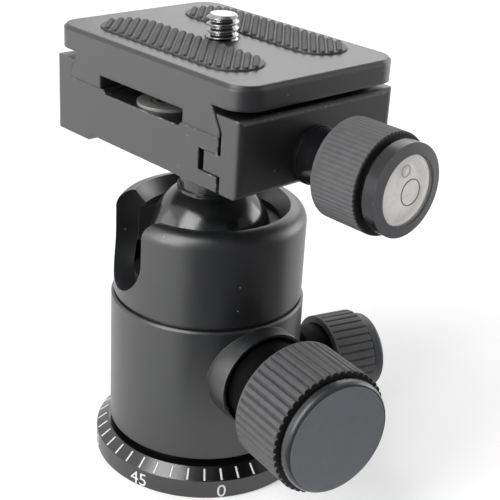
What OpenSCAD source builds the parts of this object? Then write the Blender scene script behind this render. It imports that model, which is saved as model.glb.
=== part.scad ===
// Tripod ball head with a dovetail clamp and a quick-release plate.
// Millimetres, +Z up. The origin is the centre of the pan base's underside, on the pan axis.
// +X is the main lock knob's axis. "Locked" is the state drawn: every joint stands at zero.

/* [Pan base] */
// Diameter of the graduated pan base
base_d = 46.2; // [43:0.2:56]
// Height of its upright rim, which carries the numbers
rim_h = 4.1; // [3:0.1:7]
// Height of the sloped band, which carries the graduation
bevel_h = 1.95; // [1:0.05:3]
// Width of the sloped band, measured level
bevel_w = 2.5; // [1.5:0.1:4]
// Number of graduation lines round the base
tick_count = 40; // [12:4:72]
// Width of one graduation line
tick_w = 0.42; // [0.3:0.02:0.8]
// Depth of the graduation lines
tick_depth = 0.15; // [0.08:0.01:0.3]
// Turn of the graduation's zero from the lock knob's axis
zero_turn = -21; // [-180:1:180]
// Diameter of the pivot post that the housing turns on
post_d = 26; // [24:0.5:27]
// Height of the pivot post above the base
post_h = 12.2; // [11.5:0.1:12.6]
// Depth of the post's brake groove
post_groove_depth = 1.4; // [0.8:0.1:1.8]
// Width of the brake groove at its mouth
post_groove_w = 4.4; // [4:0.1:5]

/* [Tripod socket] */
// Major diameter of the tripod thread, 3/8 inch
socket_d = 9.525; // [6.35:0.005:9.6]
// Outer diameter of the threaded bush
bush_d = 14; // [12.5:0.5:15]
// Length of the bush under its flange
bush_len = 9; // [7:0.5:11]
// Diameter of the bush's flange
bush_flange_d = 17; // [16:0.5:18]
// Thickness of the bush's flange
bush_flange_t = 1.4; // [1:0.1:2]

/* [Housing] */
// Diameter of the lower housing
body_d = 40.4; // [40:0.2:44]
// Height of the lower housing
body_h = 29.7; // [29:0.1:31]
// Gap between the base and the housing, filled by a slip washer
base_gap = 1.25; // [0.9:0.05:1.6]
// Diameter of the upper shell
shell_d = 39.4; // [39:0.1:40.2]
// Height of the shell above the seam
shell_h = 19.2; // [18.6:0.1:20]
// Height of the seam groove between shell and housing
seam_h = 0.8; // [0.4:0.1:1.2]
// Radius of the rounded outer edge of the shell's mouth
mouth_round = 3.1; // [2.4:0.1:3.4]
// Diameter of the neck seen in the seam groove
seam_d = 38.3; // [36.6:0.1:39]
// Length of the shell's threaded skirt inside the housing
skirt_len = 3.8; // [3.4:0.1:4]
// Diameter of the shell's threaded skirt
skirt_d = 36.4; // [35:0.2:37]
// Bore of the shell and its skirt, in which the lower seat slides
seat_bore_d = 31.2; // [30.6:0.1:32]
// Opening of the shell's retaining lip
lip_d = 28.6; // [27.6:0.1:29.4]
// Height of the retaining lip
lip_h = 1; // [0.6:0.1:1.5]
// Width of the drop notch
notch_w = 17.9; // [16:0.1:18.4]
// Height of the drop notch's bottom above the seam
notch_floor = 1.95; // [1.2:0.05:3]
// Direction of the drop notch from the lock knob's axis
notch_turn = -102; // [-110:1:-90]

/* [Ball] */
// Diameter of the ball
ball_d = 25.2; // [24.6:0.1:25.6]
// Height of the ball's centre above the seam
ball_rise = 11.6; // [11.2:0.1:12]
// Diameter of the stem
stem_d = 13.4; // [12:0.1:14]
// Distance from the ball's centre to the top of the stem
stem_len = 20.5; // [19.8:0.05:21.5]
// Width by which the collar at the stem's foot stands out
collar_rim = 0.45; // [0.2:0.05:0.8]
// Height of the collar above the line where stem and ball meet
collar_h = 0.35; // [0.2:0.05:0.8]
// Height of the upper race, a ring of hard plastic
race_h = 7; // [5.5:0.1:7.6]
// Height of the race's top above the ball's centre
race_rise = 3.4; // [3:0.1:3.8]
// Depth of the lower seat's rim below the ball's centre
seat_rim_drop = 7.4; // [7:0.1:8.5]
// Distance from the ball's centre down to the lower seat's underside
seat_depth = 15.2; // [14.8:0.1:15.4]
// Diameter of the lower seat's foot
foot_d = 9; // [7:0.2:9.6]
// Depth of the threaded hole in the stem
stem_bore = 15; // [10:0.5:18]

/* [Main lock] */
// Height of the lock knob's axis above the housing's underside
lock_rise = 19.1; // [18.6:0.1:19.2]
// Diameter of the round boss that the lock knob enters
boss_d = 20.8; // [20:0.1:21]
// Reach of the boss's face from the pan axis
boss_reach = 23.5; // [23:0.1:26]
// Diameter of the recess in the boss
boss_bore_d = 19.6; // [18.6:0.1:19.8]
// Distance of the recess's floor from the pan axis
boss_floor = 19.4; // [19.2:0.1:20]
// Diameter of the wedge plunger
plunger_d = 10; // [9.8:0.1:10.4]
// Angle of the plunger's ramp
ramp_angle = 25; // [15:1:30]
// Height of the ramp's middle above the lock axis
ramp_rise = 2.2; // [1.5:0.1:2.6]
// Reach of the plunger beyond the pan axis
plunger_nose = 7; // [6:0.1:7.5]
// Distance of the plunger's outer end from the pan axis
plunger_end = 11; // [9.5:0.1:11.2]
// Diameter of the lock bush
lock_bush_d = 11.6; // [10.8:0.1:11.8]
// Length of the lock bush inside the housing
lock_bush_len = 6.9; // [5.5:0.1:7]
// Diameter of the lock bush's flange
lock_bush_flange_d = 17; // [15:0.5:18]
// Thickness of the lock bush's flange
lock_bush_flange_t = 1.2; // [0.8:0.1:1.4]
// Diameter of the lock stud's thread, M8
lock_stud_d = 8; // [6:0.5:8]
// Distance of the stud's outer end behind the grip's outer end
lock_stud_setback = 5.2; // [4:0.1:8]
// Diameter of the screw that holds the knob on the stud, M4
knob_screw_d = 4; // [3:0.5:4]
// Diameter of that screw's head
knob_screw_head_d = 12; // [9:0.5:13]
// Height of that screw's head
knob_screw_head_h = 2; // [1.5:0.1:2.5]

/* [Lock knob] */
// Diameter of the knob's hub, behind the grip
lock_hub_d = 18; // [14:0.5:18.4]
// Distance of the hub's inner end from the pan axis
lock_hub_start = 21.4; // [21.2:0.1:23]
// Distance of the grip's inner end from the pan axis
lock_grip_start = 31.5; // [27:0.1:33]
// Length of the ribbed grip
lock_grip_len = 12.7; // [10:0.1:16]
// Diameter over the grip's ribs
lock_grip_d = 25.6; // [24:0.1:30]
// Wall of the rubber grip
lock_grip_wall = 1.9; // [1.5:0.1:2.6]
// Number of ribs round the grip
lock_rib_count = 48; // [24:1:48]
// Depth of the grooves between the ribs
lock_rib_depth = 0.55; // [0.3:0.05:0.8]
// Width of the groove between grip and cap
knob_seam = 0.7; // [0.4:0.1:1.2]
// Diameter of the end cap
lock_cap_d = 23.4; // [22:0.1:24.2]
// Thickness of the end cap
lock_cap_t = 2; // [1.6:0.1:3]
// Radius of the end cap's rounded edge
cap_round = 1.1; // [0.5:0.1:1.4]

/* [Pan lock] */
// Direction of the pan lock knob from the lock knob's axis
pan_turn = 83; // [75:1:95]
// Height of the pan lock's axis above the housing's underside
pan_rise = 6.6; // [6.6:0.1:7]
// Diameter of the boss round the pan stud
pan_boss_d = 12.6; // [10:0.1:13]
// Reach of that boss from the pan axis
pan_boss_reach = 22.6; // [21.5:0.1:23]
// Diameter of the brake shoe
shoe_d = 7; // [5:0.1:7.5]
// Length of the brake shoe behind its nose
shoe_len = 3.2; // [2.5:0.1:3.5]
// Diameter of the noses that ride in the post's groove
nose_d = 2.6; // [2:0.1:2.8]
// Diameter of the pan stud's thread, M5
pan_stud_d = 5; // [4:0.5:5]
// Distance of the pan stud's outer end behind the grip's outer end
pan_stud_setback = 3.2; // [1.6:0.1:5]
// Diameter of the pan knob's hub
pan_hub_d = 16.6; // [13:0.1:17]
// Distance of that hub's inner end from the pan axis
pan_hub_start = 23.5; // [23.4:0.1:25]
// Distance of the pan grip's inner end from the pan axis
pan_grip_start = 28.9; // [26:0.1:31]
// Length of the pan grip
pan_grip_len = 9.3; // [7:0.1:12]
// Diameter over the pan grip's ribs
pan_grip_d = 19.8; // [18.4:0.1:22]
// Wall of the pan grip
pan_grip_wall = 1.5; // [1.2:0.1:2]
// Number of ribs round the pan grip
pan_rib_count = 34; // [18:1:36]
// Depth of the pan grip's grooves
pan_rib_depth = 0.5; // [0.3:0.05:0.7]
// Diameter of the pan knob's cap
pan_cap_d = 17.4; // [15:0.1:18]
// Thickness of the pan knob's cap
pan_cap_t = 2.7; // [1.6:0.1:3]
// Diameter of the grub screws whose noses keep the housing on the post, M4
grub_d = 4; // [3:0.5:4]

/* [Clamp] */
// Turn of the clamp on the stem from the lock knob's axis
head_turn = 9; // [-180:1:180]
// Width of the clamp across its jaws
clamp_w = 54.6; // [53:0.2:60]
// Length of the clamp along the dovetail
clamp_len = 39.5; // [34:0.5:44]
// Offset of the clamp's middle from the stem's axis, along the dovetail
clamp_offset = 1; // [-2:0.1:2]
// Radius of the clamp's upright corners
clamp_corner = 1.3; // [1:0.1:3.6]
// Thickness of the clamp's bed from its underside to its floor
bed_t = 10.25; // [10:0.05:12]
// Depth of the groove along the floor
floor_groove_depth = 0.8; // [0.5:0.1:1.4]
// Width of the groove along the floor
floor_groove_w = 23.6; // [20:0.1:26]
// Height of the fixed jaw above the floor
fixed_jaw_h = 3.7; // [3:0.1:4.6]
// Height of the moving jaw above the floor
moving_jaw_h = 4.1; // [3:0.1:5]
// Gap between the bed and the moving jaw
jaw_gap = 0.85; // [0.6:0.05:1.2]
// Opening between the moving jaw's flank and the plate
jaw_open = 0.4; // [0.3:0.05:0.5]
// Gap behind the end of the jaw's tongue
tongue_gap = 1.5; // [0.6:0.1:1.5]
// Height of the moving jaw's tongue
tongue_h = 3.8; // [3.4:0.1:4.2]
// Depth of the tongue in the bed
tongue_len = 4.4; // [4:0.1:6]
// Gap under the tongue
tongue_play = 0.3; // [0.1:0.05:0.5]
// Bevel along the outer edges of both jaws
jaw_bevel = 0.7; // [0.2:0.1:1]
// Height of the clamp screw's axis above the clamp's underside
screw_rise = 5.1; // [5:0.1:5.5]
// Extra depth of the foot under the fixed jaw
step_h = 1.2; // [0.4:0.1:1.3]
// Width of that foot
step_w = 11; // [8:0.5:14]
// Diameter of the bolt that holds the clamp to the stem, M6
bolt_d = 6; // [5:0.5:6]
// Diameter of the bolt's head
bolt_head_d = 10; // [9:0.5:11]
// Height of the bolt's head
bolt_head_h = 4; // [3:0.1:4.4]
// Diameter of the two guide pins
guide_pin_d = 2.4; // [2:0.1:2.6]
// Distance between the guide pins
guide_pin_pitch = 24.6; // [22:0.2:25]
// Reach of the guide pins inwards beyond the stem's axis
guide_pin_start = 3; // [1:0.5:4]
// Reach of the guide pins into the moving jaw
guide_pin_reach = 2; // [1.4:0.1:2.2]
// Diameter of the flat screw heads in the floor, over the guide pins
floor_screw_head_d = 11.5; // [9:0.1:12]
// Thickness of those heads
floor_screw_head_t = 0.6; // [0.6:0.1:1]
// Diameter of those screws, M4
floor_screw_d = 4; // [3:0.5:4]
// Width of the hexagon socket in those heads, across its corners
floor_socket_d = 4.4; // [3:0.1:4.6]

/* [Clamp knob] */
// Diameter of the clamp screw's thread, M6
draw_d = 6; // [5:0.5:6]
// Diameter of the knob's neck
neck_d = 10.9; // [9:0.1:13]
// Width by which the washer stands out round the neck
washer_rim = 0.2; // [0.1:0.05:0.6]
// Diameter of the clip that draws the jaw back
clip_d = 10.2; // [9:0.1:11]
// Thickness of that clip
clip_t = 0.9; // [0.6:0.1:1]
// Distance of the draw screw's inner end from the stem's axis
draw_start = 12; // [11:0.5:14]
// Thickness of the washer between jaw and neck
washer_t = 1; // [0.6:0.1:1.5]
// Distance of the grip's inner end from the stem's axis
clamp_grip_start = 35.6; // [33:0.1:39]
// Length of the finely ribbed grip
clamp_grip_len = 10.3; // [8:0.1:13]
// Diameter over the grip
clamp_grip_d = 18.9; // [17.6:0.1:20]
// Wall of the grip
clamp_grip_wall = 1.5; // [1.2:0.1:1.8]
// Number of fine ribs round the grip
clamp_rib_count = 64; // [40:1:80]
// Depth of the fine grooves
clamp_rib_depth = 0.25; // [0.15:0.05:0.4]
// Width of the groove between the grip and the level
level_seam = 1; // [0.7:0.1:2]
// Diameter of the level's housing
level_d = 17.1; // [16:0.1:18.4]
// Thickness of the level's housing
level_t = 2.9; // [2.6:0.1:4.2]
// Fall of the level housing's face towards its rim
level_fall = 0.4; // [0.2:0.05:0.8]
// Diameter of the spirit level
vial_d = 13; // [11:0.1:13.6]
// Depth of the level's pocket
vial_pocket = 2.2; // [1.8:0.1:2.4]
// Thickness of the level's clear window at its rim
window_t = 0.6; // [0.4:0.1:0.8]
// Depth of the window's rim in the housing
window_set = 0.4; // [0.2:0.05:0.6]
// Height of the window's dome above its rim
window_dome = 0.9; // [0.3:0.05:1.4]

/* [Quick-release plate] */
// Width of the plate
plate_w = 55.6; // [50:0.2:60]
// Length of the plate along the dovetail
plate_len = 40.5; // [37:0.5:60]
// Offset of the plate along the dovetail, at rest
plate_offset = 1.35; // [-3:0.05:3]
// Thickness of the plate's flange
flange_t = 4.4; // [3.5:0.05:6]
// Height of the dovetail under the flange
dovetail_h = 5.45; // [5.1:0.05:6.5]
// Width across the foot of the dovetail
dovetail_w = 44.8; // [44:0.1:45]
// Width across the neck of the dovetail
dovetail_neck_w = 40; // [39.6:0.1:41]
// Upright edge at the foot of the dovetail
dovetail_lip = 1; // [0.6:0.1:1.2]
// Radius of the plate's upright corners
plate_corner = 5; // [1:0.1:6]
// Bevel round the plate's top edge
plate_bevel = 0.5; // [0.2:0.05:1]
// Width of the screw slot in the plate's underside
slot_w = 24.8; // [22:0.1:26]
// Depth of the screw slot
slot_depth = 2.6; // [2.4:0.1:3]
// Length of each rubber pad
pad_len = 41.5; // [36:0.5:46]
// Width of each rubber pad
pad_w = 11.6; // [8:0.1:12.4]
// Distance between the middles of the pads
pad_pitch = 21.6; // [20:0.1:24]
// Offset of the pads across the plate
pad_offset = -1.3; // [-2:0.1:2]
// Offset of the pads' middle from the plate's middle, along the dovetail
pad_shift = 0.75; // [-1:0.05:1]
// Height of the pads above the plate
pad_proud = 0.7; // [0.4:0.05:1.2]
// Depth of the recess that holds a pad
pad_recess = 0.8; // [0.4:0.1:1.2]

/* [Camera screw] */
// Major diameter of the camera thread, 1/4 inch
camera_d = 6.35; // [6.35:0.005:9.525]
// Height of the camera screw above the plate
camera_proud = 4.7; // [4:0.1:6]
// Offset of the camera screw across the plate
camera_offset = -1; // [-2:0.1:2]
// Offset of the camera screw from the plate's middle, along the dovetail
camera_shift = 0.4; // [-1:0.1:1]
// Diameter of the screw's head
camera_head_d = 14; // [12:0.1:20]
// Thickness of the screw's head
camera_head_t = 1.2; // [0.9:0.1:1.5]
// Gap between the head and the plate, for the screw's play
camera_play = 0.8; // [0.4:0.1:1]
// Diameter of the plain neck that makes the screw captive
camera_neck_d = 4.9; // [4:0.1:5.2]
// Length of the thread inside the plate
camera_thread_in = 0.1; // [0.05:0.05:0.15]
// Width of the coin slot in the head
coin_slot_w = 1.4; // [0.8:0.1:2]

/* [Fits] */
// Clearance of a turning or sliding fit, on the radius
running_gap = 0.08; // [0.05:0.01:0.1]
// Clearance between faces that pass each other
face_gap = 0.05; // [0.03:0.01:0.1]
// Clearance of a hole round a screw, on the radius
screw_gap = 0.2; // [0.1:0.05:0.3]
// Room left behind the pieces that slide
travel = 1.2; // [1:0.1:1.4]
// Bevel on turned edges
edge = 0.4; // [0.2:0.05:0.6]

/* [Hidden] */
$fn = 96;
over = 1;

base_r = base_d / 2;
base_top = rim_h + bevel_h;
bevel_r = base_r - bevel_w;
post_r = post_d / 2;
post_top = base_top + post_h;
body_r = body_d / 2;
body_floor = base_top + base_gap;
body_top = body_floor + body_h;
seam_top = body_top + seam_h;
shell_r = shell_d / 2;
shell_top = seam_top + shell_h;
skirt_r = skirt_d / 2;
skirt_foot = body_top - skirt_len;
web_top = skirt_foot - screw_gap;
seat_bore_r = seat_bore_d / 2;
lip_r = lip_d / 2;
ball_r = ball_d / 2;
ball_z = seam_top + ball_rise;
stem_r = stem_d / 2;
race_top = ball_z + race_rise;
notch_z = seam_top + notch_floor + notch_w / 2;
collar_top = sqrt(ball_r * ball_r - stem_r * stem_r) + collar_h;
lock_z = body_floor + lock_rise;
plunger_r = plunger_d / 2;
pan_z = body_floor + pan_rise;
nose_start = post_r - post_groove_depth + running_gap;
shoe_start = post_r + running_gap;
grub_turns = [60, 120];
lock_grip_end = lock_grip_start + lock_grip_len;
lock_stud_end = lock_grip_end - lock_stud_setback;
pan_grip_end = pan_grip_start + pan_grip_len;
pan_stud_end = pan_grip_end - pan_stud_setback;

clamp_foot = stem_len + face_gap;
clamp_floor = clamp_foot + bed_t;
groove_floor = clamp_floor - floor_groove_depth;
screw_h = clamp_foot + screw_rise;
jaw_face = clamp_w / 2;
jaw_inner = dovetail_w / 2 + jaw_open;
bed_face = jaw_inner - jaw_gap;
plate_foot = clamp_floor + face_gap;
flange_foot = plate_foot + dovetail_h;
plate_top = flange_foot + flange_t;
flank_run = (dovetail_w - dovetail_neck_w) / 2;
flank_rise = dovetail_h - dovetail_lip;
tongue_end = jaw_inner - tongue_len;
tongue_foot = screw_h - tongue_h / 2;
clip_r = clip_d / 2 + screw_gap;
pin_r = guide_pin_d / 2;
level_start = clamp_grip_start + clamp_grip_len + level_seam;
pad_y = plate_offset + pad_shift;
camera_y = plate_offset + camera_shift;

// A ring or a disc about Z: inner radius, outer radius, foot and head.
module ring(inner, outer, foot, head) {
  difference() {
    translate([0, 0, foot]) cylinder(r = outer, h = head - foot);
    if (inner > 0) translate([0, 0, foot - over]) cylinder(r = inner, h = head - foot + 2 * over);
  }
}

// Turns Z into X, raises it by z and swings it round the pan axis.
module along(turn, z) {
  rotate([0, 0, turn]) translate([0, 0, z]) rotate([0, 90, 0]) children();
}

// Places clamp pieces: the stem's axis is Z and the ball's centre is the height zero.
module head() {
  translate([0, 0, ball_z]) rotate([0, 0, head_turn]) children();
}

// Turns the clamp's section, drawn as width and height, into a bar along the dovetail.
module bar(length) {
  rotate([90, 0, 0]) translate([0, 0, -length / 2]) linear_extrude(length) children();
}

// A rounded rectangle, upright.
module rounded_block(width, length, corner, foot, head) {
  translate([0, 0, foot]) linear_extrude(head - foot) union() {
    square([width - 2 * corner, length], center = true);
    square([width, length - 2 * corner], center = true);
    for (x = [-1, 1], y = [-1, 1])
      translate([x * (width / 2 - corner), y * (length / 2 - corner)]) circle(corner);
  }
}

// A sleeve with straight grooves along it, about Z.
module ribbed_sleeve(outer, wall, length, count, depth) {
  groove = PI * outer / count / 2;
  linear_extrude(length) difference() {
    circle(outer);
    circle(outer - wall);
    for (i = [0:count - 1]) rotate(i * 360 / count)
      translate([outer - depth, -groove / 2]) square([2 * depth, groove]);
  }
}

// A round cap about Z with its outer edge rounded, and a plug below it.
module round_cap(outer, thick, round, plug_r, plug_len) {
  rotate_extrude() union() {
    square([outer - round, thick]);
    square([outer, thick - round]);
    translate([outer - round, thick - round]) intersection() {
      circle(round);
      square(round);
    }
    translate([0, -plug_len]) square([plug_r, plug_len + round]);
  }
}

// The drop notch's cutter: a round-bottomed slot from the pan axis outwards.
module notch_cutter() {
  along(notch_turn, 0) translate([-notch_z, 0, 0]) union() {
    cylinder(d = notch_w, h = base_r);
    translate([-shell_h - notch_w, -notch_w / 2, 0]) cube([shell_h + notch_w, notch_w, base_r]);
  }
}

module pan_base() {
  half = post_groove_w / 2;
  slope = post_groove_depth;
  tick_run = sqrt(bevel_w * bevel_w + bevel_h * bevel_h);
  color([0.09, 0.09, 0.10]) difference() {
    rotate_extrude() polygon([
      [bush_d / 2 + face_gap, 0], [base_r - edge / 2, 0], [base_r, edge / 2], [base_r, rim_h],
      [bevel_r, base_top], [post_r, base_top], [post_r, pan_z - half],
      [post_r - slope, pan_z - half + slope / 2], [post_r - slope, pan_z + half - slope / 2],
      [post_r, pan_z + half], [post_r, post_top - edge], [post_r - edge, post_top],
      [bush_flange_d / 2 + face_gap, post_top], [bush_flange_d / 2 + face_gap, bush_len],
      [bush_d / 2 + face_gap, bush_len]]);
    for (i = [0:tick_count - 1]) rotate([0, 0, zero_turn + i * 360 / tick_count])
      translate([base_r, 0, rim_h]) rotate([0, atan2(bevel_h, bevel_w) - 180, 0])
        translate([tick_run * 0.08, -tick_w / 2, -tick_depth])
          cube([tick_run * 0.78, tick_w, 2 * tick_depth]);
  }
}

module tripod_bush() {
  color([0.72, 0.70, 0.66]) difference() {
    union() {
      ring(0, bush_d / 2, 0, bush_len);
      ring(0, bush_flange_d / 2, bush_len, bush_len + bush_flange_t);
    }
    translate([0, 0, -over]) cylinder(d = socket_d, h = bush_len + bush_flange_t + 2 * over);
  }
}

module pan_washer() {
  color([0.05, 0.05, 0.05])
    ring(post_r + running_gap, body_r - bevel_w + edge, base_top, body_floor - face_gap);
}

module housing() {
  cavity_r = post_r + running_gap;
  plunger_bore = plunger_r + running_gap;
  color([0.13, 0.13, 0.14]) difference() {
    union() {
      rotate_extrude() polygon([
        [0, body_floor], [body_r - edge, body_floor], [body_r, body_floor + edge],
        [body_r, body_top - edge], [body_r - edge, body_top], [0, body_top]]);
      along(0, lock_z) ring(0, boss_d / 2, post_r, boss_reach);
      along(pan_turn, pan_z) ring(0, pan_boss_d / 2, post_r, pan_boss_reach);
    }
    translate([0, 0, body_floor - over])
      cylinder(r = cavity_r, h = post_top - body_floor + over + screw_gap);
    translate([0, 0, web_top]) cylinder(r = skirt_r + running_gap, h = body_h);
    translate([0, 0, lock_z]) cylinder(r = foot_d / 2 + running_gap, h = body_h);
    along(0, lock_z) translate([0, 0, -plunger_nose - travel])
      cylinder(r = plunger_bore, h = plunger_nose + travel + boss_floor);
    along(0, lock_z) translate([0, 0, boss_floor - lock_bush_len - face_gap])
      cylinder(r = lock_bush_d / 2 + face_gap, h = lock_bush_len + over);
    along(0, lock_z) translate([0, 0, boss_floor]) cylinder(d = boss_bore_d, h = boss_reach);
    along(pan_turn, pan_z) cylinder(r = shoe_d / 2 + running_gap, h = shoe_start + shoe_len + travel);
    along(pan_turn, pan_z) cylinder(r = pan_stud_d / 2 + running_gap, h = pan_boss_reach + over);
    for (a = grub_turns) along(pan_turn + a, pan_z) translate([0, 0, post_r - over])
      cylinder(r = grub_d / 2 + face_gap, h = body_r);
  }
}

module shell() {
  mouth_r = shell_r - mouth_round;
  color([0.14, 0.14, 0.15]) difference() {
    rotate_extrude() difference() {
      union() {
        translate([0, seam_top]) square([shell_r, shell_h - mouth_round]);
        translate([0, seam_top]) square([mouth_r, shell_h]);
        translate([mouth_r, shell_top - mouth_round]) circle(mouth_round);
        translate([0, skirt_foot]) square([skirt_r, skirt_len + seam_h]);
        translate([0, body_top + face_gap]) square([seam_d / 2, seam_h]);
      }
      translate([0, skirt_foot - over]) square([seat_bore_r, race_top - skirt_foot + over + face_gap]);
      polygon([[0, race_top], [lip_r, race_top], [lip_r, race_top + face_gap + lip_h],
        [mouth_r - edge, shell_top], [mouth_r, shell_top + over],
        [0, shell_top + over]]);
    }
    notch_cutter();
  }
}

module grub_screws() {
  socket = grub_d / 2;
  color([0.30, 0.30, 0.32]) for (a = grub_turns) along(pan_turn + a, pan_z) difference() {
    union() {
      ring(0, nose_d / 2, nose_start, shoe_start);
      ring(0, grub_d / 2, shoe_start, body_r - 2 * edge);
    }
    translate([0, 0, body_r - 2 * edge - socket]) cylinder(d = socket, h = socket + over, $fn = 6);
  }
}

module race() {
  color([0.03, 0.03, 0.03]) difference() {
    ring(0, seat_bore_r - face_gap, race_top - race_h, race_top);
    translate([0, 0, race_top - race_h - over])
      cylinder(r = ball_r + face_gap, h = race_h - race_rise + over);
    translate([0, 0, ball_z]) sphere(ball_r + face_gap);
    notch_cutter();
  }
}

module lower_seat() {
  underside = ball_z - seat_depth;
  color([0.05, 0.05, 0.05]) difference() {
    union() {
      ring(0, seat_bore_r - running_gap, underside, ball_z - seat_rim_drop);
      ring(0, foot_d / 2, lock_z - plunger_r, underside + face_gap);
    }
    translate([0, 0, ball_z]) sphere(ball_r + 2 * face_gap);
    translate([0, 0, lock_z + ramp_rise + face_gap]) rotate([0, -ramp_angle, 0])
      translate([-foot_d, -foot_d, -2 * foot_d]) cube([2 * foot_d, 2 * foot_d, 2 * foot_d]);
  }
}

module lock_plunger() {
  color([0.55, 0.42, 0.20]) difference() {
    along(0, lock_z) ring(0, plunger_r, -plunger_nose, plunger_end);
    translate([0, 0, lock_z + ramp_rise]) rotate([0, -ramp_angle, 0])
      translate([-plunger_d * 2, -plunger_d, 0]) cube([plunger_d * 4, 2 * plunger_d, plunger_d]);
  }
}

module lock_bush() {
  color([0.66, 0.64, 0.60]) along(0, lock_z) difference() {
    union() {
      ring(0, lock_bush_d / 2, boss_floor - lock_bush_len, boss_floor);
      ring(0, lock_bush_flange_d / 2, boss_floor, boss_floor + lock_bush_flange_t);
    }
    translate([0, 0, boss_floor - lock_bush_len - over])
      cylinder(r = lock_stud_d / 2 + running_gap, h = lock_bush_len + lock_bush_flange_t + 2 * over);
  }
}

module lock_stud() {
  color([0.60, 0.60, 0.62]) along(0, lock_z) difference() {
    ring(0, lock_stud_d / 2, plunger_end + face_gap, lock_stud_end);
    translate([0, 0, lock_stud_end - lock_stud_d]) cylinder(d = knob_screw_d, h = lock_stud_d + over);
  }
}

// A knob's hub about Z: a neck, a core under the grip, a seam disc and a screw pocket.
module knob_hub(neck_r, core_r, stud_r, start, grip_start, grip_end, seam_r, seam, stud_end, pocket_r) {
  difference() {
    union() {
      ring(0, neck_r, start, grip_start);
      ring(0, core_r, grip_start, grip_end);
      ring(0, seam_r, grip_end, grip_end + seam);
    }
    translate([0, 0, start - over]) cylinder(r = stud_r, h = stud_end - start + over);
    translate([0, 0, stud_end]) cylinder(r = pocket_r, h = grip_end);
  }
}

module lock_hub() {
  core_r = lock_grip_d / 2 - lock_grip_wall;
  color([0.08, 0.08, 0.09]) along(0, lock_z)
    knob_hub(lock_hub_d / 2, core_r, lock_stud_d / 2, lock_hub_start, lock_grip_start,
      lock_grip_end, core_r + lock_rib_depth, knob_seam, lock_stud_end,
      knob_screw_head_d / 2 + screw_gap);
}

module lock_grip() {
  color([0.20, 0.20, 0.21]) along(0, lock_z) translate([0, 0, lock_grip_start])
    ribbed_sleeve(lock_grip_d / 2, lock_grip_wall, lock_grip_len, lock_rib_count, lock_rib_depth);
}

module lock_cap() {
  color([0.15, 0.15, 0.16]) along(0, lock_z)
    translate([0, 0, lock_grip_end + knob_seam])
      round_cap(lock_cap_d / 2, lock_cap_t, cap_round, knob_screw_head_d / 2, 2 * knob_seam);
}

module lock_screw() {
  color([0.70, 0.70, 0.72]) along(0, lock_z) difference() {
    union() {
      ring(0, knob_screw_d / 2, lock_stud_end - lock_stud_d + face_gap, lock_stud_end);
      ring(0, knob_screw_head_d / 2, lock_stud_end, lock_stud_end + knob_screw_head_h);
    }
    translate([0, 0, lock_stud_end + knob_screw_head_h / 4])
      cylinder(d = knob_screw_d, h = knob_screw_head_h, $fn = 6);
  }
}

module pan_shoe() {
  color([0.70, 0.55, 0.25]) along(pan_turn, pan_z) union() {
    ring(0, nose_d / 2, nose_start, shoe_start);
    ring(0, shoe_d / 2, shoe_start, shoe_start + shoe_len);
  }
}

module pan_stud() {
  color([0.60, 0.60, 0.62]) along(pan_turn, pan_z)
    ring(0, pan_stud_d / 2, shoe_start + shoe_len + face_gap, pan_stud_end);
}

module pan_hub() {
  core_r = pan_grip_d / 2 - pan_grip_wall;
  color([0.08, 0.08, 0.09]) along(pan_turn, pan_z)
    knob_hub(pan_hub_d / 2, core_r, pan_stud_d / 2, pan_hub_start, pan_grip_start,
      pan_grip_end, core_r, knob_seam, pan_stud_end, pan_stud_d / 2);
}

module pan_grip() {
  color([0.17, 0.17, 0.18]) along(pan_turn, pan_z) translate([0, 0, pan_grip_start])
    ribbed_sleeve(pan_grip_d / 2, pan_grip_wall, pan_grip_len, pan_rib_count, pan_rib_depth);
}

module pan_cap() {
  color([0.13, 0.13, 0.14]) along(pan_turn, pan_z)
    translate([0, 0, pan_grip_end + knob_seam])
      round_cap(pan_cap_d / 2, pan_cap_t, cap_round, pan_stud_d / 2 - face_gap, 2 * knob_seam);
}

module ball() {
  color([0.02, 0.02, 0.02]) translate([0, 0, ball_z]) difference() {
    union() {
      sphere(ball_r);
      cylinder(r = stem_r, h = stem_len);
      cylinder(r = stem_r + collar_rim, h = collar_top);
    }
    translate([0, 0, stem_len - stem_bore]) cylinder(r = bolt_d / 2 + face_gap, h = stem_bore + over);
  }
}

// The clamp's plan: the bed and the jaw are cut from one rounded block.
module clamp_plan() {
  rounded_block(clamp_w, clamp_len, clamp_corner, clamp_foot - step_h,
    clamp_floor + fixed_jaw_h + moving_jaw_h);
}

// Turns Z into the clamp screw's direction, at the clamp screw's height.
module across(start, y) {
  head() translate([start, y, screw_h]) rotate([0, 90, 0]) children();
}

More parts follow.
